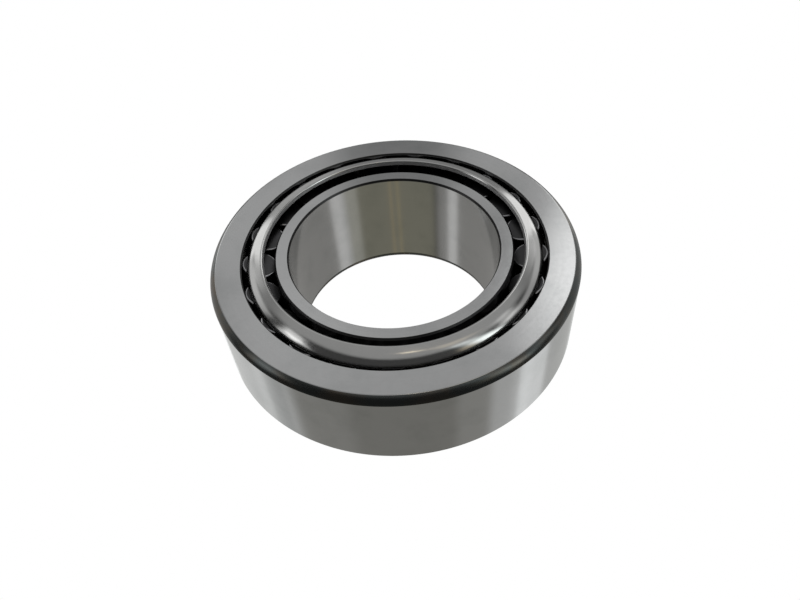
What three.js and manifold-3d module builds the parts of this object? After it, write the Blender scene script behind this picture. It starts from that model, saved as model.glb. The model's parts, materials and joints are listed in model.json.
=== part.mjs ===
// Tapered roller bearing, 80 x 140 x 46 mm: a cup, a cone, a stamped cage and a row of tapered
// rollers. Millimetres, +Z up along the bearing axis. The origin is the centre of the cone's back
// face, so the bearing stands on its cone with the cup's back face on top.
import * as THREE from 'three';
import { mergeVertices } from 'three/addons/utils/BufferGeometryUtils.js';
import Module from 'manifold-3d';

const wasm = await Module();
wasm.setup();

const { sin, cos, tan, PI } = Math;
const radians = THREE.MathUtils.degToRad;

// Driving dimensions of the bearing
const boreRadius = 40;
const outsideRadius = 70;
const bearingWidth = 46;
const cupWidth = 35;
const cupMouthRadius = 57.6; // cup raceway, carried on to the plane of the cup's back face
const contactAngle = radians(15.8333); // between the cup raceway and the bearing axis

// Rollers: truncated cones whose apex is shared with both raceways
const rollerCount = 21;
const rollerHalfAngle = radians(1.85);
const rollerLength = 32.5;
const rollerEndDepth = 3.5; // centre of the small end, below the cup's back face
const rollerChamfer = 0.6;
const endCrown = 0.12; // height of the domed large end
const firstRollerAngle = radians(-8.3);

// Running clearances
const racewayClearance = 0.08; // roller to each raceway
const endClearance = 0.3; // roller ends to the ribs of the cone
const pocketClearance = 0.3; // roller to its cage pocket, all round

// Cone
const backRibRadius = 56.4;
const frontRibRadius = 45.4;
const frontFaceRadius = 44.7;
const backBoreRound = 3.5;
const backRibChamfer = 1;
const ribEdgeChamfer = 0.4;
const frontBoreChamfer = { radial: 0.7, axial: 1.25 };
const backUndercut = 0.8;
const frontUndercut = 0.4;

// Cup
const backCornerChamfer = { radial: 2.5, axial: 2.9 };
const frontCornerChamfer = 0.8;
const mouthChamfer = { radial: 0.5, axial: 0.8 };
const racewayEdgeChamfer = 0.4;

// Cage, pressed from one sheet
const sheet = 2;
const cageOffset = 5.2; // outer surface of the barred wall, outside the rollers' axes
const cageFootHeight = 5.5;
const flangeInnerRadius = 49.7;
const flangeTop = 48.4; // height of the flange's inner edge
const flangeSlope = radians(17.5);
const bendRadius = 6; // outside of the bend between flange and wall

// Facets
const ringSegments = 84;
const rollerSegments = 24;

// Common apex of the raceways and the rollers, and the cones about it
const apexHeight = bearingWidth + cupMouthRadius / tan(contactAngle);
const rollerAngle = contactAngle - rollerHalfAngle; // roller axis to bearing axis
const coneAngle = rollerAngle - rollerHalfAngle; // cone raceway to bearing axis
const smallEnd = (apexHeight - bearingWidth + rollerEndDepth) / cos(rollerAngle);
const largeEnd = smallEnd + rollerLength;

// Section points are Vector2(radius, height).
const point = (radius, height) => new THREE.Vector2(radius, height);

// Radius at a height of the cone that opens downwards from the apex with this half angle.
const radiusAt = (halfAngle, height) => (apexHeight - height) * tan(halfAngle);

// The section point at a distance from the apex along a roller's axis, and at an offset from that
// axis, positive away from the bearing axis.
function besideAxis(distance, offset) {
  const across = distance * sin(rollerAngle) + offset * cos(rollerAngle);
  const down = distance * cos(rollerAngle) - offset * sin(rollerAngle);
  return point(across, apexHeight - down);
}

// Points on an arc, both ends included; angles from the radial direction, upwards positive.
function arc(centre, radius, from, to, steps) {
  return Array.from({ length: steps + 1 }, (_, i) => {
    const angle = from + ((to - from) * i) / steps;
    return point(centre.x + radius * cos(angle), centre.y + radius * sin(angle));
  });
}

// Turns a section, counter-clockwise in radius and height, about the Z axis.
function turned(section, segments) {
  return new THREE.LatheGeometry(section, segments).rotateX(PI / 2);
}

const closedRing = (section) => turned([...section, section[0]], ringSegments);

function steel(color, roughness, metalness) {
  return new THREE.MeshStandardMaterial({ color, roughness, metalness });
}

const ringSteel = steel(0x8f9192, 0.36, 0.9);
const cageSteel = steel(0xa6a6a0, 0.42, 0.85);
const rollerSteel = steel(0x6d6f72, 0.22, 0.95);

function named(name, geometry, material) {
  const mesh = new THREE.Mesh(geometry, material.clone());
  mesh.name = name;
  return mesh;
}

// Cup: outer ring with a conical raceway that opens towards its front face, below.
function makeCup() {
  const frontHeight = bearingWidth - cupWidth;
  const backEdge = outsideRadius - backCornerChamfer.radial;
  const racewayLow = frontHeight + racewayEdgeChamfer;
  const racewayHigh = bearingWidth - mouthChamfer.axial;
  const mouth = radiusAt(contactAngle, racewayHigh);
  const throat = radiusAt(contactAngle, racewayLow);
  const section = [
    point(throat + racewayEdgeChamfer, frontHeight),
    point(outsideRadius - frontCornerChamfer, frontHeight),
    point(outsideRadius, frontHeight + frontCornerChamfer),
    point(outsideRadius, bearingWidth - backCornerChamfer.axial),
    point(backEdge, bearingWidth),
    point(mouth + mouthChamfer.radial, bearingWidth),
    point(mouth, racewayHigh),
    point(throat, racewayLow),
  ];
  return named('cup', closedRing(section), ringSteel);
}

// Cone: inner ring with its raceway between a low front rib and the high back rib. The corners
// where the raceway meets the ribs have grinding undercuts.
function makeCone() {
  const backCorner = onConeRaceway(largeEnd + endClearance);
  const frontCorner = onConeRaceway(smallEnd - endClearance);
  const ribTop = alongRib(backCorner, backRibRadius - ribEdgeChamfer);
  const lipBottom = alongRib(frontCorner, frontRibRadius);
  const lipChamfer = frontRibRadius - frontFaceRadius;
  const faceInner = boreRadius + frontBoreChamfer.radial;
  const boreTop = bearingWidth - frontBoreChamfer.axial;
  const section = [
    ...arc(point(boreRadius + backBoreRound, backBoreRound), backBoreRound, -PI, -PI / 2, 3),
    point(backRibRadius - backRibChamfer, 0),
    point(backRibRadius, backRibChamfer),
    point(backRibRadius, ribTop.y - ribEdgeChamfer),
    ribTop,
    ...arc(backCorner, backUndercut, rollerAngle, coneAngle - 1.5 * PI, 4),
    ...arc(frontCorner, frontUndercut, coneAngle - PI / 2, rollerAngle - 2 * PI, 4),
    lipBottom,
    point(frontRibRadius, bearingWidth - lipChamfer),
    point(frontFaceRadius, bearingWidth),
    point(faceInner, bearingWidth),
    point(boreRadius, boreTop),
  ];
  return named('cone', closedRing(section), ringSteel);
}

// The cone raceway's point level with a distance along the roller axis.
function onConeRaceway(distance) {
  return besideAxis(distance, -distance * tan(rollerHalfAngle));
}

// A rib's face is square to the roller axis: its point at a radius, starting from the corner.
function alongRib(corner, radius) {
  return point(radius, corner.y + (radius - corner.x) * tan(rollerAngle));
}

// Puts a piece that stands on its origin at one roller station, leaning towards the apex.
function atStation(mesh, index) {
  const station = new THREE.Group();
  const foot = besideAxis(largeEnd, 0);
  mesh.position.set(foot.x, 0, foot.y);
  mesh.rotation.y = -rollerAngle;
  station.rotation.z = firstRollerAngle + (2 * PI * index) / rollerCount;
  station.add(mesh);
  return station;
}

// Half section of a roller, large end down, grown all round by an allowance.
function rollerSection(allowance) {
  const radiusAlong = (height) => (largeEnd - height) * tan(rollerHalfAngle) + allowance;
  const low = -allowance;
  const high = rollerLength + allowance;
  return [
    point(0, low - endCrown),
    point(radiusAlong(low) - rollerChamfer, low),
    point(radiusAlong(low), low + rollerChamfer),
    point(radiusAlong(high), high - rollerChamfer),
    point(radiusAlong(high) - rollerChamfer, high),
    point(0, high),
  ];
}

function makeRollers() {
  const row = new THREE.Group();
  const geometry = turned(rollerSection(-racewayClearance), rollerSegments);
  for (let index = 0; index < rollerCount; index += 1) {
    const name = `roller_${String(index + 1).padStart(2, '0')}`;
    row.add(atStation(named(name, geometry, rollerSteel), index));
  }
  return row;
}

function toSolid(geometry) {
  const bare = geometry.clone();
  bare.deleteAttribute('normal');
  bare.deleteAttribute('uv');
  const merged = mergeVertices(bare);
  return new wasm.Manifold(new wasm.Mesh({
    numProp: 3,
    vertProperties: merged.attributes.position.array,
    triVerts: Uint32Array.from(merged.index.array),
  }));
}

function toGeometry(solid) {
  const mesh = solid.getMesh();
  const geometry = new THREE.BufferGeometry();
  geometry.setAttribute('position', new THREE.BufferAttribute(mesh.vertProperties, 3));
  geometry.setIndex(new THREE.BufferAttribute(mesh.triVerts, 1));
  geometry.computeVertexNormals();
  return geometry;
}

// The cage before its pockets are punched: a sloping flange, a bend and a conical wall that runs
// parallel to the rollers' axes.
function cageBlank() {
  const wallRadius = (offset, height) => radiusAt(rollerAngle, height) + offset / cos(rollerAngle);
  const innerOffset = cageOffset - sheet;
  const upwards = PI / 2 - flangeSlope; // outward normal of the flange
  const flangeRise = sheet * cos(flangeSlope);
  const edgeTop = point(flangeInnerRadius, flangeTop);
  const edgeBottom = point(flangeInnerRadius - sheet * sin(flangeSlope), flangeTop - flangeRise);
  const bend = bendCentre(edgeTop);
  return [
    edgeBottom,
    ...arc(bend, bendRadius - sheet, upwards, rollerAngle, 2),
    point(wallRadius(innerOffset, cageFootHeight), cageFootHeight),
    point(wallRadius(cageOffset, cageFootHeight), cageFootHeight),
    ...arc(bend, bendRadius, rollerAngle, upwards, 3),
    edgeTop,
  ];
}

// Centre of the bend: one bend radius inside both the flange's top and the wall's outer surface.
function bendCentre(edgeTop) {
  const startRadius = edgeTop.x - bendRadius * sin(flangeSlope);
  const startHeight = edgeTop.y - bendRadius * cos(flangeSlope);
  const wallOffset = (cageOffset - bendRadius) / cos(rollerAngle);
  const gap = radiusAt(rollerAngle, startHeight) + wallOffset - startRadius;
  const run = gap / (1 - tan(flangeSlope) * tan(rollerAngle));
  return point(startRadius + run, startHeight - run * tan(flangeSlope));
}

function makeCage() {
  const pocket = turned(rollerSection(pocketClearance), rollerSegments);
  let body = toSolid(closedRing(cageBlank()));
  for (let index = 0; index < rollerCount; index += 1) {
    const cutter = new THREE.Mesh(pocket);
    atStation(cutter, index).updateMatrixWorld(true);
    body = body.subtract(toSolid(pocket.clone().applyMatrix4(cutter.matrixWorld)));
  }
  return named('cage', toGeometry(body), cageSteel);
}

const bearing = new THREE.Group();
bearing.name = 'tapered_roller_bearing';
bearing.add(makeCup(), makeCone(), makeCage(), makeRollers());

export default bearing;
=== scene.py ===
"""Tapered roller bearing: the visual model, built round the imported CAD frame.

Sections are drawn in millimetres as (radius, height) and turned about the bearing axis.
"""
import json
from math import acos, asin, atan2, cos, hypot, pi, radians, sin, sqrt, tan

import bpy
from mathutils import Matrix, Vector


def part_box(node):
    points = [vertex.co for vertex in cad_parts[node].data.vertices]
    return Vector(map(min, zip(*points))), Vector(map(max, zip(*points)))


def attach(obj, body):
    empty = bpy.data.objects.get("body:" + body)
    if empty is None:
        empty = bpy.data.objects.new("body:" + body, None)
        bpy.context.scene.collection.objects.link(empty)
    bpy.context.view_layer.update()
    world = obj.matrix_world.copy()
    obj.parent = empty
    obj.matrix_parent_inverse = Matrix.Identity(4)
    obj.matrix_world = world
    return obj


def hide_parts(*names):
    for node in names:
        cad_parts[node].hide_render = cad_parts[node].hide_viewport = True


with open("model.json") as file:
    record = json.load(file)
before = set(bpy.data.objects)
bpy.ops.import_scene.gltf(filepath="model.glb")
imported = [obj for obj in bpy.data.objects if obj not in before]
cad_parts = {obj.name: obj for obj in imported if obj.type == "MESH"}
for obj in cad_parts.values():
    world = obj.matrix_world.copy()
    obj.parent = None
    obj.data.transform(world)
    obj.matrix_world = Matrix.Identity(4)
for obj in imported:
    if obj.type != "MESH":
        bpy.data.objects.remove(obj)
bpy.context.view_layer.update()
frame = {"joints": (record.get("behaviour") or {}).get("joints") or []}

MM = 0.001

# ------------------------------------------------------------------ sizes from the frame, in mm


def millimetres(corner):
    return [value / MM for value in corner]


roller_joints = [joint for joint in frame["joints"] if joint["name"].startswith("roller_")]
roller_count = len(roller_joints)
pitch = 2 * pi / roller_count
first_foot = millimetres(roller_joints[0]["pos_m"])
first_axis = Vector(roller_joints[0]["axis"]).normalized()
roller_lean = acos(first_axis.z)
first_angle = atan2(first_foot[1], first_foot[0])
foot_radius = hypot(first_foot[0], first_foot[1])
apex = first_foot[2] + foot_radius / tan(roller_lean)

cup_low, cup_high = (millimetres(c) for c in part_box("cup"))
_, cone_high = (millimetres(c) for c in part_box("cone"))
cage_low, cage_high = (millimetres(c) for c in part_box("cage"))

# ------------------------------------------------------------------ sizes of the real bearing, in mm

# Rollers: truncated cones whose large ends are domed
HALF_ANGLE = radians(1.85)
ROLLER_LENGTH = 32.5
ROLLER_CHAMFER = 0.6
ROLLER_ROUND = 0.75
ROLLER_CROWN = 0.12
SMALL_END_CENTRE = 0.5
RACEWAY_GAP = 0.08  # between a roller and each raceway
END_GAP = 0.3  # between its ends and the ribs of the cone

# Cone
BORE_RADIUS = 40.0
BORE_ROUND = 3.5
BORE_CHAMFER_RADIAL = 0.5
BORE_CHAMFER_AXIAL = 0.9
RIB_RADIUS = 56.4
RIB_CHAMFER = 1.0
RIB_EDGE = 0.4
LIP_RADIUS = 45.4
FACE_RADIUS = 44.7
BACK_RELIEF = 0.8  # radii of the grinding undercuts
FRONT_RELIEF = 0.4

# Cup: the corner is the dark one at its back face, and the mouth is the raceway's narrow end
CORNER_RADIAL = 2.5
CORNER_AXIAL = 2.9
CORNER_TURN = radians(50)
CORNER_BLEND = 3.0
FRONT_CHAMFER = 0.9
MOUTH_CHAMFER_RADIAL = 0.4
MOUTH_CHAMFER_AXIAL = 0.7
THROAT_CHAMFER = 0.4

# Cage, pressed from one sheet
SHEET = 2.0
CAGE_OFFSET = 5.2  # outer surface of the wall, outside the rollers' axes
FLANGE_RADIUS = 49.7
FLANGE_SLOPE = radians(17.5)
BEND_RADIUS = 7.0
LIP_ROUND = 0.8
FOOT_ROUND = 0.3
SHEAR_ROUND = 0.12

# Rounding of the edges
FINE_ROUND = 0.05
EDGE_ROUND = 0.1
CORNER_ROUND = 0.12
SOFT_ROUND = 0.15

# Facets
RING_SEGMENTS = 12 * roller_count
ROLLER_SEGMENTS = 64
ARC_STEPS = 10
SMALL_ARC_STEPS = 8
BEND_STEPS = 14

contact_angle = roller_lean + HALF_ANGLE
cone_angle = roller_lean - HALF_ANGLE
large_end = foot_radius / sin(roller_lean)  # distance from the apex, along a roller's axis
small_end = large_end - ROLLER_LENGTH

# ------------------------------------------------------------------ section drawing

MOST_REACH = 0.45  # share of a side that the rounding of one corner may take


def on_cone(half_angle, height):
    """Radius at a height of the cone that opens downwards from the apex."""
    return (apex - height) * tan(half_angle)


def beside_axis(distance, offset):
    """Section point at a distance from the apex along a roller's axis, offset outwards from it."""
    return (
        distance * sin(roller_lean) + offset * cos(roller_lean),
        apex - distance * cos(roller_lean) + offset * sin(roller_lean),
    )


def arc(centre, radius, start, end, steps):
    """Points on an arc, both ends included, angles in radians from the radial direction."""
    angles = [start + (end - start) * i / steps for i in range(steps + 1)]
    return [(centre[0] + radius * cos(a), centre[1] + radius * sin(a)) for a in angles]


def bulge(start, end, turn, steps):
    """Points between two section points on an arc that turns by this angle, bulging to the right."""
    chord = Vector((end[0] - start[0], end[1] - start[1]))
    radius = chord.length / (2 * sin(turn / 2))
    out = Vector((chord.y, -chord.x)).normalized()
    middle = Vector(((start[0] + end[0]) / 2, (start[1] + end[1]) / 2))
    centre = middle - out * radius * cos(turn / 2)
    first = atan2(start[1] - centre.y, start[0] - centre.x)
    return arc((centre.x, centre.y), radius, first, first + turn, steps)


def outline(corners, steps=4):
    """Rounds the corners of a closed section. Each corner is (point, round, finish), where the
    finish is that of the face which follows it, or a pair, the round's finish first. Returns
    [(point, finish)]."""
    drawn = []
    for i, (corner, size, finish) in enumerate(corners):
        edge, face = finish if isinstance(finish, tuple) else (finish, finish)
        here = Vector(corner)
        back = Vector(corners[i - 1][0]) - here
        ahead = Vector(corners[(i + 1) % len(corners)][0]) - here
        if size == 0:
            drawn.append((tuple(here), face))
            continue
        half = back.angle(ahead) / 2
        reach = min(size / tan(half), MOST_REACH * back.length, MOST_REACH * ahead.length)
        start = here + back.normalized() * reach
        end = here + ahead.normalized() * reach
        for step in range(steps + 1):
            t = step / steps
            place = start * (1 - t) ** 2 + here * 2 * t * (1 - t) + end * t ** 2
            drawn.append((tuple(place), edge if step < steps else face))
    return drawn


# ------------------------------------------------------------------ meshes


def new_object(name, data):
    thing = bpy.data.objects.new(name, data)
    bpy.context.scene.collection.objects.link(thing)
    return thing


def new_mesh(name, vertices, faces):
    """A mesh from vertices in millimetres."""
    mesh = bpy.data.meshes.new(name)
    mesh.from_pydata([[value * MM for value in v] for v in vertices], [], faces)
    return mesh


def new_piece(name, vertices, faces, finishes, materials):
    """A smooth-shaded piece, with one finish for each face."""
    mesh = new_mesh(name, vertices, faces)
    slots = list(dict.fromkeys(finishes))
    for finish in slots:
        mesh.materials.append(materials[finish])
    mesh.polygons.foreach_set("material_index", [slots.index(f) for f in finishes])
    mesh.polygons.foreach_set("use_smooth", [True] * len(faces))
    mesh.validate()
    piece = new_object(name, mesh)
    weighted = piece.modifiers.new("even_normals", "WEIGHTED_NORMAL")
    weighted.weight = 100
    weighted.keep_sharp = True
    return piece


def turned_ring(name, section, segments, materials):
    """Turns a closed section about Z."""
    count = len(section)
    angles = [2 * pi * s / segments for s in range(segments)]
    vertices = [(r * cos(a), r * sin(a), h) for a in angles for (r, h), _ in section]
    faces, finishes = [], []
    for s in range(segments):
        near, far = s * count, ((s + 1) % segments) * count
        for i in range(count):
            j = (i + 1) % count
            faces.append((near + i, far + i, far + j, near + j))
            finishes.append(section[i][1])
    return new_piece(name, vertices, faces, finishes, materials)


def turned_solid(name, section, segments, materials):
    """Turns a section that starts and ends on the axis."""
    inner = section[1:-1]
    count = len(inner)
    angles = [2 * pi * s / segments for s in range(segments)]
    vertices = [(r * cos(a), r * sin(a), h) for a in angles for (r, h), _ in inner]
    bottom, top = len(vertices), len(vertices) + 1
    vertices += [(0, 0, section[0][0][1]), (0, 0, section[-1][0][1])]
    faces, finishes = [], []
    for s in range(segments):
        near, far = s * count, ((s + 1) % segments) * count
        faces.append((bottom, far, near))
        finishes.append(section[0][1])
        for i in range(count - 1):
            faces.append((near + i, far + i, far + i + 1, near + i + 1))
            finishes.append(inner[i][1])
        faces.append((top, near + count - 1, far + count - 1))
        finishes.append(inner[-1][1])
    return new_piece(name, vertices, faces, finishes, materials)


# ------------------------------------------------------------------ node trees


class Nodes:
    """A short way to write node trees."""

    def __init__(self, tree):
        self.tree = tree
        tree.nodes.clear()

    def add(self, kind, settings=None, **inputs):
        node = self.tree.nodes.new(kind)
        for key, value in (settings or {}).items():
            setattr(node, key, value)
        for key, value in inputs.items():
            self.feed(node.inputs[key.replace("_", " ")], value)
        return node

    def feed(self, socket, value):
        if isinstance(value, bpy.types.NodeSocket):
            self.tree.links.new(value, socket)
        else:
            socket.default_value = value

    def fed(self, node, *values):
        """Feeds a node's inputs in their order and returns its first output."""
        for socket, value in zip(node.inputs, values):
            self.feed(socket, value)
        return node.outputs[0]

    def math(self, operation, *values):
        return self.fed(self.add("ShaderNodeMath", {"operation": operation}), *values)

    def vector(self, x, y, z):
        return self.add("ShaderNodeCombineXYZ", X=x, Y=y, Z=z).outputs[0]

    def tinted(self, amount, tint):
        return self.vector(*(self.math("MULTIPLY", amount, part) for part in tint))

    def add_up(self, first, second):
        return self.fed(self.add("ShaderNodeVectorMath", {"operation": "ADD"}), first, second)

    def blend(self, factor, first, second):
        """The first shader where the factor is zero, the second where it is one."""
        return self.fed(self.add("ShaderNodeMixShader"), factor, first, second)

    def noise(self, vector, scale, detail=2.0, roughness=0.5):
        node = self.add("ShaderNodeTexNoise", {"noise_dimensions": "3D"}, Vector=vector,
                        Scale=scale, Detail=detail, Roughness=roughness)
        return node.outputs["Fac"]

    def remap(self, value, low, high, new_low, new_high):
        """Smooth step from one range of values to another."""
        node = self.add("ShaderNodeMapRange", {"interpolation_type": "SMOOTHSTEP"})
        return self.fed(node, value, low, high, new_low, new_high)

    def mix(self, factor, first, second):
        """A mix of two colors."""
        node = self.add("ShaderNodeMix", {"data_type": "RGBA", "blend_type": "MIX"})
        for name, value in (("Factor_Float", factor), ("A_Color", first), ("B_Color", second)):
            socket = next(s for s in node.inputs if s.identifier == name)
            self.feed(socket, value)
        return next(s for s in node.outputs if s.identifier == "Result_Color")

    def bump(self, height, strength, distance, normal=None):
        node = self.add("ShaderNodeBump", Height=height, Strength=strength, Distance=distance)
        if normal is not None:
            self.feed(node.inputs["Normal"], normal)
        return node.outputs[0]


def rgb(red, green, blue):
    return (red, green, blue, 1.0)


def new_material(name):
    """A material, and its node tree ready to be written."""
    material = bpy.data.materials.new(name)
    material.use_nodes = True
    return material, Nodes(material.node_tree)


# ------------------------------------------------------------------ steel

LAY_SLANT = 1.37  # height counts this much more than radius across the lay
LAY_STRETCH = 12.0  # noise scales, along the lay and across it
BROAD_LAY = 1400.0
FINE_LAY = 6000.0
CLOUD_SCALE = 70.0
SPECK_SCALE = 900.0
WAVE_SCALE = 190.0

STAINED = (0.42, 0.72)  # levels of the noise between which each effect sets in
LINED = (0.3, 0.7)
POLISHED = (0.25, 0.75)
SPECKED = (0.4, 0.7)

LINE_SHADE = 0.72
LINE_STRENGTH = 0.03
POLISH_SPREAD = 0.006
SPECK_ROUGHNESS = 0.02
BROAD_BUMP = 0.025
FINE_BUMP = 0.05
QUARTER_TURN = 0.25  # puts the stretched highlights square to the lay


def lay_coordinates(nodes):
    """Object coordinates, their x and y, and the distance across lines that run round the axis."""
    place = nodes.add("ShaderNodeTexCoord").outputs["Object"]
    x, y, z = nodes.add("ShaderNodeSeparateXYZ", Vector=place).outputs
    squares = nodes.math("ADD", nodes.math("MULTIPLY", x, x), nodes.math("MULTIPLY", y, y))
    radius = nodes.math("SQRT", squares)
    across = nodes.math("ADD", radius, nodes.math("MULTIPLY", z, LAY_SLANT))
    return place, x, y, across


def steel(name, color, roughness, anisotropy, lay_depth, stain, stain_color, wave_depth=0.0):
    """Machined steel: lines of the grinding lay round the axis, soft stains, uneven polish."""
    material, nodes = new_material(name)
    place, x, y, across = lay_coordinates(nodes)
    along_x = nodes.math("MULTIPLY", x, LAY_STRETCH)
    along_y = nodes.math("MULTIPLY", y, LAY_STRETCH)

    def lay(scale, detail):
        height = nodes.math("MULTIPLY", across, scale)
        return nodes.noise(nodes.vector(along_x, along_y, height), 1.0, detail)

    fine = lay(FINE_LAY, 2.0)
    broad = lay(BROAD_LAY, 3.0)
    clouds = nodes.noise(place, CLOUD_SCALE, 4.0, 0.6)
    specks = nodes.noise(place, SPECK_SCALE, 2.0)
    darker = rgb(*(LINE_SHADE * part for part in color[:3]))
    lined = nodes.mix(nodes.remap(broad, *LINED, 0.0, LINE_STRENGTH), color, darker)
    tinted = nodes.mix(nodes.remap(clouds, *STAINED, 0.0, stain), lined, stain_color)
    uneven = nodes.remap(broad, *POLISHED, roughness - POLISH_SPREAD, roughness + POLISH_SPREAD)
    rough = nodes.remap(specks, *SPECKED, 0.0, SPECK_ROUGHNESS)
    normal = nodes.bump(broad, BROAD_BUMP, lay_depth)
    normal = nodes.bump(fine, FINE_BUMP, lay_depth, normal)
    if wave_depth:
        normal = nodes.bump(nodes.noise(place, WAVE_SCALE, 1.0), 1.0, wave_depth, normal)
    tangent = nodes.add("ShaderNodeTangent", {"direction_type": "RADIAL", "axis": "Z"}).outputs[0]
    shader = nodes.add("ShaderNodeBsdfPrincipled", Base_Color=tinted, Metallic=1.0,
                       Roughness=nodes.math("ADD", uneven, rough), Anisotropic=anisotropy,
                       Anisotropic_Rotation=QUARTER_TURN, Normal=normal, Tangent=tangent)
    nodes.add("ShaderNodeOutputMaterial", Surface=shader.outputs[0])
    return material


finish_looks = {
    "ground": steel("ground_steel", rgb(0.57, 0.575, 0.575), roughness=0.15, anisotropy=0.6,
                    lay_depth=1.5e-6, stain=0.5, stain_color=rgb(0.47, 0.48, 0.48)),
    "side": steel("ground_side", rgb(0.57, 0.575, 0.58), roughness=0.11, anisotropy=0.6,
                  lay_depth=1.5e-6, stain=0.5, stain_color=rgb(0.47, 0.48, 0.48)),
    # raceway: honed steel, its colour painted darker than the ground faces as the shade in the gaps
    "raceway": steel("honed_raceway_painted_shade", rgb(0.3, 0.3, 0.3), roughness=0.16, anisotropy=0.5,
                     lay_depth=1.0e-6, stain=0.1, stain_color=rgb(0.25, 0.25, 0.25)),
    "black": steel("unground_corner", rgb(0.105, 0.115, 0.113), roughness=0.26, anisotropy=0.5,
                   lay_depth=5.0e-6, stain=0.7, stain_color=rgb(0.17, 0.137, 0.105)),
    # shade: near-black painted shade, for the cup's mouth chamfer, the cone's lip and the bore's
    # chamfer
    "shade": steel("painted_shade_edges", rgb(0.07, 0.07, 0.07), roughness=0.4, anisotropy=0.2,
                   lay_depth=5.0e-6, stain=0.5, stain_color=rgb(0.03, 0.03, 0.03)),
    "sheet": steel("pressed_sheet", rgb(0.62, 0.62, 0.61), roughness=0.15, anisotropy=0.45,
                   lay_depth=1.0e-6, stain=0.3, stain_color=rgb(0.52, 0.52, 0.51),
                   wave_depth=2.2e-5),
    # inside: the cage's inner skin, painted dark grey as the shade inside the cage
    "inside": steel("shade_painted_sheet", rgb(0.16, 0.16, 0.16), roughness=0.4, anisotropy=0.3,
                    lay_depth=2.0e-6, stain=0.3, stain_color=rgb(0.12, 0.12, 0.12)),
    "cut": steel("sheared_edge", rgb(0.5, 0.5, 0.5), roughness=0.55, anisotropy=0.2,
                 lay_depth=8.0e-6, stain=0.5, stain_color=rgb(0.3, 0.3, 0.3)),
    "roller": steel("roller_barrel", rgb(0.4, 0.4, 0.41), roughness=0.16, anisotropy=0.4,
                    lay_depth=1.0e-6, stain=0.15, stain_color=rgb(0.34, 0.34, 0.34)),
    # roller_end: near-black painted shade, for the ends of the rollers that sit in the dark gap
    "roller_end": steel("roller_end", rgb(0.075, 0.075, 0.077), roughness=0.34, anisotropy=0.3,
                        lay_depth=2.0e-6, stain=0.3, stain_color=rgb(0.06, 0.06, 0.06)),
}

# ------------------------------------------------------------------ cup


def make_cup():
    outside, top, bottom = cup_high[0], cup_high[2], cup_low[2]
    mouth = on_cone(contact_angle, top - MOUTH_CHAMFER_AXIAL)
    throat = on_cone(contact_angle, bottom + THROAT_CHAMFER)
    corner = bulge((outside, top - CORNER_AXIAL), (outside - CORNER_RADIAL, top), CORNER_TURN,
                   ARC_STEPS)
    corners = [
        ((throat + THROAT_CHAMFER, bottom), EDGE_ROUND, "ground"),
        ((outside - FRONT_CHAMFER, bottom), EDGE_ROUND, "black"),
        ((outside, bottom + FRONT_CHAMFER), SOFT_ROUND, "side"),
        (corner[0], CORNER_ROUND, "black"),
        *[(point, 0, "black") for point in corner[1:-1]],
        (corner[-1], CORNER_BLEND, "ground"),
        # The mouth chamfer takes the near-black painted shade.
        ((mouth + MOUTH_CHAMFER_RADIAL, top), SOFT_ROUND, "shade"),
        ((mouth, top - MOUTH_CHAMFER_AXIAL), EDGE_ROUND, "raceway"),
        ((throat, bottom + THROAT_CHAMFER), EDGE_ROUND, "black"),
    ]
    return turned_ring("outer_ring", outline(corners), RING_SEGMENTS, finish_looks)


# ------------------------------------------------------------------ cone


def along_rib(corner, radius):
    """Point at a radius on a rib's face, which is square to the roller axis."""
    return (radius, corner[1] + (radius - corner[0]) * tan(roller_lean))


def on_cone_raceway(distance):
    """Raceway point level with a distance from the apex along a roller's axis."""
    return beside_axis(distance, -distance * tan(HALF_ANGLE))


def make_cone():
    top = cone_high[2]
    back_corner = on_cone_raceway(large_end + END_GAP)
    front_corner = on_cone_raceway(small_end - END_GAP)
    rib_top = along_rib(back_corner, RIB_RADIUS - RIB_EDGE)
    lip_bottom = along_rib(front_corner, LIP_RADIUS)
    bore_arc = arc((BORE_RADIUS + BORE_ROUND, BORE_ROUND), BORE_ROUND, -pi, -pi / 2, ARC_STEPS)
    back_relief = arc(back_corner, BACK_RELIEF, roller_lean, cone_angle - 1.5 * pi, ARC_STEPS)
    front_relief = arc(front_corner, FRONT_RELIEF, cone_angle - pi / 2, roller_lean - 2 * pi,
                       SMALL_ARC_STEPS)
    corners = [
        *[(point, 0, "black") for point in bore_arc[:-1]],
        (bore_arc[-1], EDGE_ROUND, "ground"),
        ((RIB_RADIUS - RIB_CHAMFER, 0), EDGE_ROUND, "black"),
        ((RIB_RADIUS, RIB_CHAMFER), EDGE_ROUND, "ground"),
        ((RIB_RADIUS, rib_top[1] - RIB_EDGE), EDGE_ROUND, "black"),
        (rib_top, EDGE_ROUND, "raceway"),
        *[(point, 0, "black") for point in back_relief[:-1]],
        (back_relief[-1], FINE_ROUND, "raceway"),
        *[(point, 0, "black") for point in front_relief],
        # The lip's faces and the bore's chamfer take the near-black painted shade.
        (lip_bottom, EDGE_ROUND, "shade"),
        ((LIP_RADIUS, top - (LIP_RADIUS - FACE_RADIUS)), EDGE_ROUND, "shade"),
        ((FACE_RADIUS, top), EDGE_ROUND, "ground"),
        ((BORE_RADIUS + BORE_CHAMFER_RADIAL, top), EDGE_ROUND, "shade"),
        ((BORE_RADIUS, top - BORE_CHAMFER_AXIAL), EDGE_ROUND, "ground"),
    ]
    return turned_ring("inner_ring", outline(corners), RING_SEGMENTS, finish_looks)


# ------------------------------------------------------------------ rollers

DOME_SHARES = (0, 0.35, 0.7, 1)  # of the large end's radius, where its dome is drawn
ROLLER_ROUND_STEPS = 6


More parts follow.
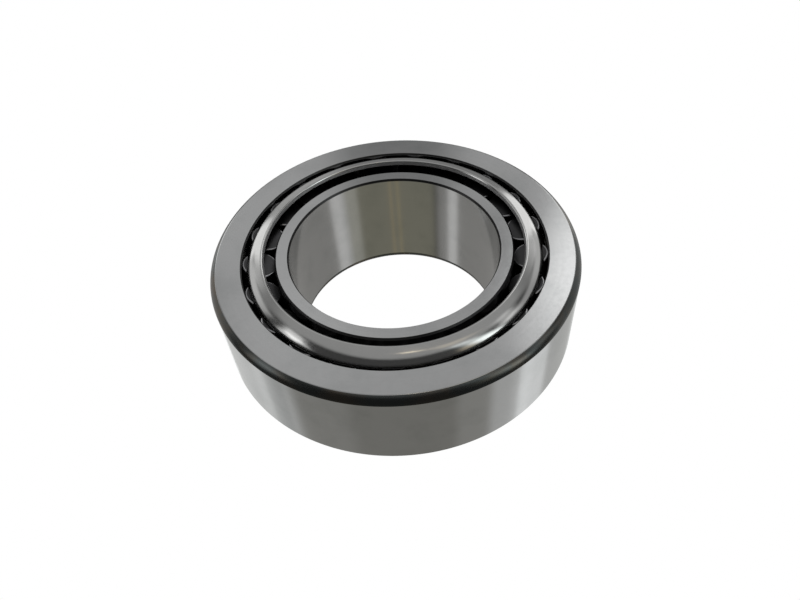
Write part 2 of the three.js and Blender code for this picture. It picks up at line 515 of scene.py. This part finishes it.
def roller_section():
    """Half section of a roller with its large end down, from axis to axis."""
    def barrel(height):
        return (large_end - height) * tan(HALF_ANGLE) - RACEWAY_GAP

    low, high = RACEWAY_GAP, ROLLER_LENGTH - RACEWAY_GAP
    end_radius = barrel(low) - ROLLER_CHAMFER
    dome = [(end_radius * t, low - ROLLER_CROWN * (1 - t * t)) for t in DOME_SHARES]
    # The ends take the near-black painted shade of the gap.
    corners = [
        (dome[-1], 0, "roller_end"),
        ((barrel(low), low), ROLLER_ROUND, "roller"),
        ((barrel(high), high), ROLLER_ROUND, ("roller", "roller_end")),
        ((SMALL_END_CENTRE, high), 0, "roller_end"),
    ]
    domed = [(point, "roller_end") for point in dome[:-1]]
    return [*domed, *outline(corners, ROLLER_ROUND_STEPS), ((0, high), "roller_end")]


def make_rollers():
    """Returns [(roller, node)], each roller standing on its joint and along its joint's axis."""
    pattern = turned_solid("roller_pattern", roller_section(), ROLLER_SEGMENTS, finish_looks)
    rollers = []
    for joint in roller_joints:
        node = joint["child"]
        roller = pattern.copy()
        roller.data = pattern.data.copy()
        roller.name = node.replace("roller", "tapered_roller")
        bpy.context.scene.collection.objects.link(roller)
        axis = Vector(joint["axis"]).normalized()
        across = Vector((0, 0, 1)).cross(axis).normalized()
        turn = Matrix((across.cross(axis), across, axis)).transposed()
        roller.matrix_world = Matrix.Translation(Vector(joint["pos_m"])) @ turn.to_4x4()
        rollers.append((roller, node))
    bpy.data.objects.remove(pattern)
    return rollers


# ------------------------------------------------------------------ cage

BAR_COLUMNS = 4  # half the columns of a bar, whose middle is where two tiles meet
POCKET_COLUMNS = 8
TILE_COLUMNS = 2 * BAR_COLUMNS + POCKET_COLUMNS
POCKET_GAP = 0.3
POCKET_CORNER = 1.2
POCKET_CORNER_STEPS = 4
POCKET_SIDE_STEPS = 8
EDGE = 0.15  # how much the pockets' edges are eased
PLAIN_STRIP = 0.2  # between the rows that run right round and the rows that meet the pockets


def bend_centre(edge_top):
    """Centre of the bend: one bend radius inside the flange's top and the wall's outside."""
    start = (edge_top[0] - BEND_RADIUS * sin(FLANGE_SLOPE),
             edge_top[1] - BEND_RADIUS * cos(FLANGE_SLOPE))
    wall = on_cone(roller_lean, start[1]) + (CAGE_OFFSET - BEND_RADIUS) / cos(roller_lean)
    run = (wall - start[0]) / (1 - tan(FLANGE_SLOPE) * tan(roller_lean))
    return (start[0] + run, start[1] - run * tan(FLANGE_SLOPE))


bend = bend_centre((FLANGE_RADIUS, cage_high[2]))
bend_distance = (apex - bend[1]) * cos(roller_lean) + bend[0] * sin(roller_lean)


def wall_section(distance, offset):
    """Section point of the cage wall, which bends inwards above the level of the bend's centre."""
    rise = max(bend_distance - distance, 0)
    radius = BEND_RADIUS - CAGE_OFFSET + offset
    sag = radius - sqrt(radius ** 2 - rise ** 2)
    return beside_axis(distance, offset - sag)


def wall_point(distance, offset, angle):
    radius, height = wall_section(distance, offset)
    return (radius * cos(angle), radius * sin(angle), height)


def pocket_half_angle(distance, offset):
    """Half the angle that a pocket takes of the cage wall, at an offset from the rollers' axes."""
    radius, _ = wall_section(distance, offset)
    reach = distance * tan(HALF_ANGLE) + POCKET_GAP
    half = 0.0
    for _ in range(4):  # each pass allows better for the roundness of the wall
        depth = offset - radius * (1 - cos(half)) / cos(roller_lean)
        half = asin(sqrt(max(reach ** 2 - depth ** 2, 0)) / radius)
    return half


def pocket_rows(growth):
    """(distance, inset) down a pocket's side: rounded corner, straight side, rounded corner."""
    first = small_end - POCKET_GAP - growth
    last = large_end + POCKET_GAP + growth
    size = POCKET_CORNER + growth
    turns = [radians(90 * i / POCKET_CORNER_STEPS) for i in range(POCKET_CORNER_STEPS + 1)]
    corner = [(size * (1 - cos(t)), size * (1 - sin(t))) for t in turns]
    straight = last - first - 2 * size
    sides = [size + straight * i / POCKET_SIDE_STEPS for i in range(1, POCKET_SIDE_STEPS)]
    rows = [(first + d, inset) for d, inset in corner]
    rows += [(first + d, 0.0) for d in sides]
    rows += [(last - d, inset) for d, inset in reversed(corner)]
    return rows


def pocket_edges(offset, growth):
    """For each row, (distance, half angle) of a pocket's outline on the wall at this offset."""
    edges = []
    for distance, inset in pocket_rows(growth):
        radius, _ = wall_section(distance, offset)
        edges.append((distance, pocket_half_angle(distance, offset) + (growth - inset) / radius))
    return edges


class CageMesh:
    """Collects the cage's vertices and faces."""

    def __init__(self):
        self.vertices, self.faces, self.finishes = [], [], []
        self.index = {}

    def vertex(self, key, place):
        if key not in self.index:
            self.index[key] = len(self.vertices)
            self.vertices.append(place)
        return self.index[key]

    def face(self, corners, finish):
        self.faces.append(tuple(corners))
        self.finishes.append(finish)


def plain_row(radius, height):
    """A row of the cage's skin that runs right round: a place for each tile and column."""
    def place(tile, column):
        angle = first_angle + (tile - 0.5 + column / TILE_COLUMNS) * pitch
        return (radius * cos(angle), radius * sin(angle), height)
    return place


def pocket_row(distance, offset, half):
    """A row of the wall's skin that meets the pockets, bar columns squeezed between them."""
    def place(tile, column):
        middle = first_angle + tile * pitch
        if column <= BAR_COLUMNS:
            angle = -pitch / 2 + (pitch / 2 - half) * column / BAR_COLUMNS
        elif column >= TILE_COLUMNS - BAR_COLUMNS:
            angle = pitch / 2 - (pitch / 2 - half) * (TILE_COLUMNS - column) / BAR_COLUMNS
        else:
            angle = half * (2 * (column - BAR_COLUMNS) / POCKET_COLUMNS - 1)
        return wall_point(distance, offset, middle + angle)
    return place


def cage_skin():
    """The closed loop of rows round the sheet's section: [(place, in_pocket, finish)]."""
    inner_offset = CAGE_OFFSET - SHEET
    top, foot = cage_high[2], cage_low[2]
    upwards = pi / 2 - FLANGE_SLOPE
    edge_top = (FLANGE_RADIUS, top)
    down = (-SHEET * sin(FLANGE_SLOPE), -SHEET * cos(FLANGE_SLOPE))
    edge_bottom = (edge_top[0] + down[0], edge_top[1] + down[1])
    outer_foot = (on_cone(roller_lean, foot) + CAGE_OFFSET / cos(roller_lean), foot)
    inner_foot = (on_cone(roller_lean, foot) + inner_offset / cos(roller_lean), foot)
    rise = bend_distance - (small_end - POCKET_GAP - EDGE) + PLAIN_STRIP
    outer_end = roller_lean + asin(rise / BEND_RADIUS)
    inner_end = roller_lean + asin(rise / (BEND_RADIUS - SHEET))
    outer_bend = arc(bend, BEND_RADIUS, upwards, outer_end, BEND_STEPS)
    inner_bend = arc(bend, BEND_RADIUS - SHEET, inner_end, upwards, SMALL_ARC_STEPS)
    lip = outline([(inner_bend[-1], 0, "inside"), (edge_bottom, SHEAR_ROUND, "cut"),
                   (edge_top, LIP_ROUND, "sheet"), (outer_bend[0], 0, "sheet")])
    base = outline([(outer_bend[-1], 0, "sheet"), (outer_foot, FOOT_ROUND, "cut"),
                    (inner_foot, SHEAR_ROUND, "inside"), (inner_bend[0], 0, "sheet")])
    skin = [(plain_row(*point), False, finish) for point, finish in lip[:-1]]
    skin += [(plain_row(*point), False, "sheet") for point in outer_bend]
    skin += [(pocket_row(d, CAGE_OFFSET, half), True, "sheet")
             for d, half in pocket_edges(CAGE_OFFSET, EDGE)]
    skin += [(plain_row(*point), False, finish) for point, finish in base[1:-1]]
    # The inner skin takes the dark grey painted shade of the cage's inside.
    skin += [(pocket_row(d, inner_offset, half), True, "inside")
             for d, half in reversed(pocket_edges(inner_offset, EDGE))]
    skin += [(plain_row(*point), False, "inside") for point in inner_bend[:-1]]
    return skin


def add_skin(cage, skin):
    """Faces between each row and the next, left out where a pocket is."""
    rows = len(skin)
    for tile in range(roller_count):
        for row in range(rows):
            place, in_pocket, finish = skin[row]
            below, next_in_pocket, _ = skin[(row + 1) % rows]
            for column in range(TILE_COLUMNS):
                inside = BAR_COLUMNS <= column < TILE_COLUMNS - BAR_COLUMNS
                if in_pocket and next_in_pocket and inside:
                    continue
                corners = []
                for where, r, c in ((place, row, column), (below, row + 1, column),
                                    (below, row + 1, column + 1), (place, row, column + 1)):
                    t = (tile + c // TILE_COLUMNS) % roller_count
                    key = (r % rows, t, c % TILE_COLUMNS)
                    corners.append(cage.vertex(key, where(tile, c)))
                cage.face(corners, finish)


def pocket_loop(cage, tile, offset, label):
    """Vertex numbers round one pocket's outline: down its left side and up its right."""
    edges = pocket_edges(offset, 0.0)
    middle = first_angle + tile * pitch
    last = len(edges) - 1

    def vertex(row, share):
        distance, half = edges[row]
        key = (label, tile, row, round(share, 6))
        return cage.vertex(key, wall_point(distance, offset, middle + half * share))

    shares = [2 * column / POCKET_COLUMNS - 1 for column in range(1, POCKET_COLUMNS)]
    loop = [vertex(row, -1.0) for row in range(last + 1)]
    loop += [vertex(last, share) for share in shares]
    loop += [vertex(row, 1.0) for row in range(last, -1, -1)]
    loop += [vertex(0, share) for share in reversed(shares)]
    return loop


def skin_loop(cage, tile, first_row, last_row):
    """The same outline from the skin's own rows, from a pocket's small end to its large end."""
    left, right = BAR_COLUMNS, TILE_COLUMNS - BAR_COLUMNS
    step = 1 if last_row > first_row else -1
    rows = list(range(first_row, last_row + step, step))
    loop = [cage.index[(row, tile, left)] for row in rows]
    loop += [cage.index[(last_row, tile, column)] for column in range(left + 1, right)]
    loop += [cage.index[(row, tile, right)] for row in reversed(rows)]
    loop += [cage.index[(first_row, tile, column)] for column in range(right - 1, left, -1)]
    return loop


def add_pocket_walls(cage, skin):
    """Joins the outer skin to the inner skin down the walls of every pocket, edges eased."""
    marked = [row for row, (_, in_pocket, _) in enumerate(skin) if in_pocket]
    half = len(marked) // 2
    outer, inner = marked[:half], marked[half:]
    inner_offset = CAGE_OFFSET - SHEET
    for tile in range(roller_count):
        loops = [
            skin_loop(cage, tile, outer[0], outer[-1]),
            pocket_loop(cage, tile, CAGE_OFFSET - EDGE, "outer"),
            pocket_loop(cage, tile, CAGE_OFFSET - SHEET / 2, "middle"),
            pocket_loop(cage, tile, inner_offset + EDGE, "inner"),
            skin_loop(cage, tile, inner[-1], inner[0]),
        ]
        for upper, lower in zip(loops, loops[1:]):
            for i in range(len(upper)):
                j = (i + 1) % len(upper)
                cage.face((upper[i], upper[j], lower[j], lower[i]), "cut")


def make_cage():
    cage = CageMesh()
    skin = cage_skin()
    add_skin(cage, skin)
    add_pocket_walls(cage, skin)
    return new_piece("pressed_cage", cage.vertices, cage.faces, cage.finishes, finish_looks)


# ------------------------------------------------------------------ assembly


def stand_for(piece, node):
    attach(piece, node)
    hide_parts(node)


stand_for(make_cup(), "cup")
stand_for(make_cone(), "cone")
stand_for(make_cage(), "cage")
for roller, node in make_rollers():
    stand_for(roller, node)

# ------------------------------------------------------------------ studio

PAPER = rgb(1.0, 1.0, 1.0)
PLAIN = (1.0, 1.0, 1.0)  # tints
WARM = (1.0, 0.98, 0.9)
LAMP = (1.0, 0.86, 0.62)
COOL = (0.94, 1.0, 1.0)
PALE = (0.975, 1.0, 1.02)
OLIVE = (1.0, 0.97, 0.77)
CREAM = (1.0, 0.98, 0.94)
TAN = (1.0, 0.65, 0.1)
BRONZE = (1.0, 0.6, 0.1)

UNDER_ALL = -120  # elevations in degrees: past straight down, and past straight up
OVER_ALL = 120
TABLE_FOOT = -80
TABLE_EDGE = -28
CEILING_EDGE = 45


def window(nodes, value, low, high, soft):
    """One between the limits and nothing beyond them, in degrees, with soft edges."""
    rising = nodes.remap(value, radians(low - soft), radians(low + soft), 0.0, 1.0)
    falling = nodes.remap(value, radians(high - soft), radians(high + soft), 1.0, 0.0)
    return nodes.math("MULTIPLY", rising, falling)


def turn_from(nodes, x, y, azimuth):
    """The angle, in radians, that a place lies round the axis from an azimuth in degrees."""
    across, along = cos(radians(azimuth)), sin(radians(azimuth))
    ahead = nodes.math("ADD", nodes.math("MULTIPLY", x, across),
                       nodes.math("MULTIPLY", y, along))
    aside = nodes.math("SUBTRACT", nodes.math("MULTIPLY", y, across),
                       nodes.math("MULTIPLY", x, along))
    return nodes.math("ARCTAN2", aside, ahead)


class Studio:
    """Adds up the light that reaches the bearing from each direction."""

    def __init__(self, nodes):
        self.nodes = nodes
        direction = nodes.add("ShaderNodeTexCoord").outputs["Generated"]
        self.x, self.y, z = nodes.add("ShaderNodeSeparateXYZ", Vector=direction).outputs
        self.elevation = nodes.math("ARCSINE", z)
        self.glow = None

    def add_light(self, amount, tint):
        lit = self.nodes.tinted(amount, tint)
        self.glow = lit if self.glow is None else self.nodes.add_up(self.glow, lit)

    def belt(self, low, high, brightness, soft=8, tint=PLAIN):
        """Light from every side between two elevations."""
        tall = window(self.nodes, self.elevation, low, high, soft)
        self.add_light(self.nodes.math("MULTIPLY", tall, brightness), tint)

    def card(self, azimuth, half, low, high, brightness, soft=5, soft_ends=6, lean=0.0,
             tint=PLAIN):
        """A lit card: its middle and half width round the bearing, and its elevations. It leans
        by this many degrees sideways for each degree above the horizon. A card of negative
        brightness takes light away."""
        nodes = self.nodes
        turn = turn_from(nodes, self.x, self.y, azimuth)
        if lean:
            turn = nodes.math("SUBTRACT", turn, nodes.math("MULTIPLY", self.elevation, lean))
        wide = window(nodes, turn, -half, half, soft)
        tall = window(nodes, self.elevation, low, high, soft_ends)
        share = nodes.math("MULTIPLY", wide, tall)
        self.add_light(nodes.math("MULTIPLY", share, brightness), tint)

    def table_card(self, azimuth, half, brightness, soft=5, tint=PLAIN):
        """A card that lies on the table, below the bearing."""
        self.card(azimuth, half, TABLE_FOOT, TABLE_EDGE, brightness, soft=soft, tint=tint)


def light_table(studio):
    """What lies below the bearing: a dim table, with the room's light falling on both sides."""
    studio.belt(UNDER_ALL, TABLE_EDGE, 0.235, tint=WARM)
    studio.table_card(111, 10, 0.72, tint=PALE)
    studio.table_card(150, 36, 0.43, soft=9, tint=PALE)
    studio.table_card(164, 8, 0.1)
    studio.table_card(174, 8, -0.2, soft=2)
    studio.table_card(67, 11, 0.22, tint=PALE)
    studio.table_card(19, 49, 0.27, tint=PALE)
    studio.table_card(3, 17, 0.08, soft=4)
    studio.table_card(5, 13, 0.27, soft=2, tint=PALE)
    studio.table_card(-2, 5, 0.12, soft=3)
    studio.table_card(-42, 14, 0.07)
    studio.table_card(-152, 22, 0.05, soft=8)


def light_room(studio):
    """The room's dim walls and ceiling, and the bright windows behind the bearing."""
    studio.belt(TABLE_EDGE, CEILING_EDGE, 0.06)
    studio.belt(CEILING_EDGE, OVER_ALL, 0.36)
    studio.card(90, 70, TABLE_EDGE, 42, 0.19, soft=10)
    studio.card(90, 42, 46, 64, 0.08, soft=8)
    studio.card(90, 14, 43, 56, 0.08, soft=8)
    studio.card(77.5, 5.5, 28, 41, 0.27, soft=2, soft_ends=2)
    studio.card(104, 9, 28, 50, 0.27, soft=3)
    studio.card(108, 9, -5, 24, 0.2, soft=4)
    studio.card(53, 8.5, -12, 52, 0.85, soft=1, lean=0.25)
    studio.card(56.8, 6.5, 38, 49, 0.5, soft=1, lean=0.22)
    studio.card(45, 6, 24, 38, 0.3, soft=3)
    studio.card(128.5, 7.5, -12, 36, 0.8, soft=2, lean=-0.25)
    studio.card(134, 6, 26, 38, 0.3, soft=3)
    studio.card(152, 18, -25, 28, 0.4)
    studio.card(22, 27, TABLE_EDGE, 28, 0.32)


def light_front(studio):
    """Strip lights beside the camera, a shade over it, and warm lamps."""
    studio.card(-170, 8, 2, 30, 0.7, soft=4)
    studio.card(-150, 9, 17, 46, 0.85, soft=4, lean=-0.67)
    studio.card(-30, 9, 17, 52, 0.45, soft=5, lean=0.67)
    studio.card(-110, 75, 45, 53, -0.33, soft=10, soft_ends=8)
    studio.card(-25.5, 8, 6, 58, 0.8, soft=6, lean=-0.27, tint=COOL)
    studio.card(-25.5, 8, 8, 34, 0.9, soft=6, lean=-0.27, tint=COOL)
    studio.card(-8, 6, 14, 30, 0.4, soft=4)
    studio.card(-46, 5, 15, 34, 0.35, soft=4, tint=LAMP)
    studio.card(-20, 22, 64, 79, 0.3, soft=8, tint=LAMP)
    studio.card(-60, 35, 82.5, 87, 1.5, soft=10, soft_ends=1.5, tint=LAMP)


def make_world():
    """The studio for every ray but the camera's own, which see white paper."""
    world = bpy.data.worlds.new("studio")
    bpy.context.scene.world = world
    world.use_nodes = True
    nodes = Nodes(world.node_tree)
    studio = Studio(nodes)
    light_table(studio)
    light_room(studio)
    light_front(studio)
    seen = nodes.add("ShaderNodeLightPath").outputs["Is Camera Ray"]
    room = nodes.add("ShaderNodeBackground", Color=studio.glow, Strength=1.0).outputs[0]
    paper = nodes.add("ShaderNodeBackground", Color=PAPER, Strength=1.0).outputs[0]
    nodes.add("ShaderNodeOutputWorld", Surface=nodes.blend(seen, room, paper))


BORE_CARD_RADIUS = 42.0
BORE_CARD_TOP = -1.0
BORE_CARD_FOOT = -140.0
BORE_CARD_SEGMENTS = 96


def bore_card_material():
    """Light in stripes, which the bore reflects as bands down its wall."""
    material, nodes = new_material("bore_card_light")
    place = nodes.add("ShaderNodeTexCoord").outputs["Object"]
    x, y, _ = nodes.add("ShaderNodeSeparateXYZ", Vector=place).outputs

    def stripe(azimuth, half, soft, brightness, tint=PLAIN):
        turn = turn_from(nodes, x, y, azimuth)
        lit = nodes.math("MULTIPLY", window(nodes, turn, -half, half, soft), brightness)
        return nodes.tinted(lit, tint)

    total = stripe(-90, 74, 6, 0.225, OLIVE)
    for light in (
        stripe(90, 102, 6, 0.3, CREAM),
        stripe(163, 9, 3, 0.4),
        stripe(-4, 14, 3, 0.37),
        stripe(-28, 10, 4, 0.17),
        stripe(-104, 1.5, 1.2, 0.14, TAN),
        stripe(-92, 1.5, 1.2, 0.14, BRONZE),
    ):
        total = nodes.add_up(total, light)
    glow = nodes.add("ShaderNodeEmission", Color=total, Strength=1.0)
    nodes.add("ShaderNodeOutputMaterial", Surface=glow.outputs[0])
    return material


def make_bore_card():
    """A round card below the bore, which shows only in reflections."""
    count = BORE_CARD_SEGMENTS
    angles = [2 * pi * i / count for i in range(count)]
    ring = [(BORE_CARD_RADIUS * cos(a), BORE_CARD_RADIUS * sin(a)) for a in angles]
    vertices = [(x, y, z) for z in (BORE_CARD_TOP, BORE_CARD_FOOT) for x, y in ring]
    faces = [(i, (i + 1) % count, count + (i + 1) % count, count + i) for i in range(count)]
    mesh = new_mesh("bore_card", vertices, faces)
    mesh.materials.append(bore_card_material())
    card = new_object("bore_card", mesh)
    card.visible_camera = False
    card.visible_diffuse = False
    card.visible_shadow = False


FLOOR_SIZE = 4000.0
FLOOR_DROP = 0.2


def floor_material():
    """White from above and clear from below."""
    material, nodes = new_material("pale_floor")
    glow = nodes.add("ShaderNodeEmission", Color=PAPER, Strength=1.0).outputs[0]
    clear = nodes.add("ShaderNodeBsdfTransparent").outputs[0]
    behind = nodes.add("ShaderNodeNewGeometry").outputs["Backfacing"]
    nodes.add("ShaderNodeOutputMaterial", Surface=nodes.blend(behind, glow, clear))
    return material


def make_floor():
    """A sheet just under the bearing, which isn't seen in the steel."""
    signs = ((-1, -1), (1, -1), (1, 1), (-1, 1))
    corners = [(x * FLOOR_SIZE, y * FLOOR_SIZE, -FLOOR_DROP) for x, y in signs]
    mesh = new_mesh("floor", corners, [(0, 1, 2, 3)])
    mesh.materials.append(floor_material())
    floor = new_object("floor", mesh)
    floor.visible_glossy = False


# ------------------------------------------------------------------ camera

CAMERA_DISTANCE = 0.2587  # from the centre of the cup's back face
CAMERA_ELEVATION = radians(43.47)
CAMERA_PAN = 0.0025
CAMERA_TILT = 0.0803
CAMERA_ROLL = radians(-5.02)
CAMERA_LENS = 30.6
CAMERA_SENSOR = 36
NEAREST = 0.01
FARTHEST = 20


def make_camera():
    """Looks along +Y and down, then panned, tilted and rolled a little off the bearing's centre."""
    e, p, t, roll = CAMERA_ELEVATION, CAMERA_PAN, CAMERA_TILT, CAMERA_ROLL
    ahead = Vector((0, cos(e), -sin(e)))
    axes = Matrix(((1, 0, 0), (0, sin(e), cos(e)), ahead)).transposed()
    pan = Matrix(((cos(p), 0, sin(p)), (0, 1, 0), (-sin(p), 0, cos(p))))
    tilt = Matrix(((1, 0, 0), (0, cos(t), -sin(t)), (0, sin(t), cos(t))))
    turn = axes @ pan @ tilt
    right = turn @ Vector((cos(roll), sin(roll), 0))
    up = turn @ Vector((-sin(roll), cos(roll), 0))
    back = turn @ Vector((0, 0, -1))
    data = bpy.data.cameras.new("camera")
    data.lens = CAMERA_LENS
    data.sensor_width = CAMERA_SENSOR
    data.clip_start = NEAREST
    data.clip_end = FARTHEST
    camera = new_object("camera", data)
    centre = Vector((0, 0, cup_high[2] * MM))
    pose = Matrix((right, up, back)).transposed().to_4x4()
    camera.matrix_world = Matrix.Translation(centre - ahead * CAMERA_DISTANCE) @ pose
    bpy.context.scene.camera = camera


make_world()
make_floor()
make_bore_card()
make_camera()
bpy.context.scene.view_settings.view_transform = "Standard"
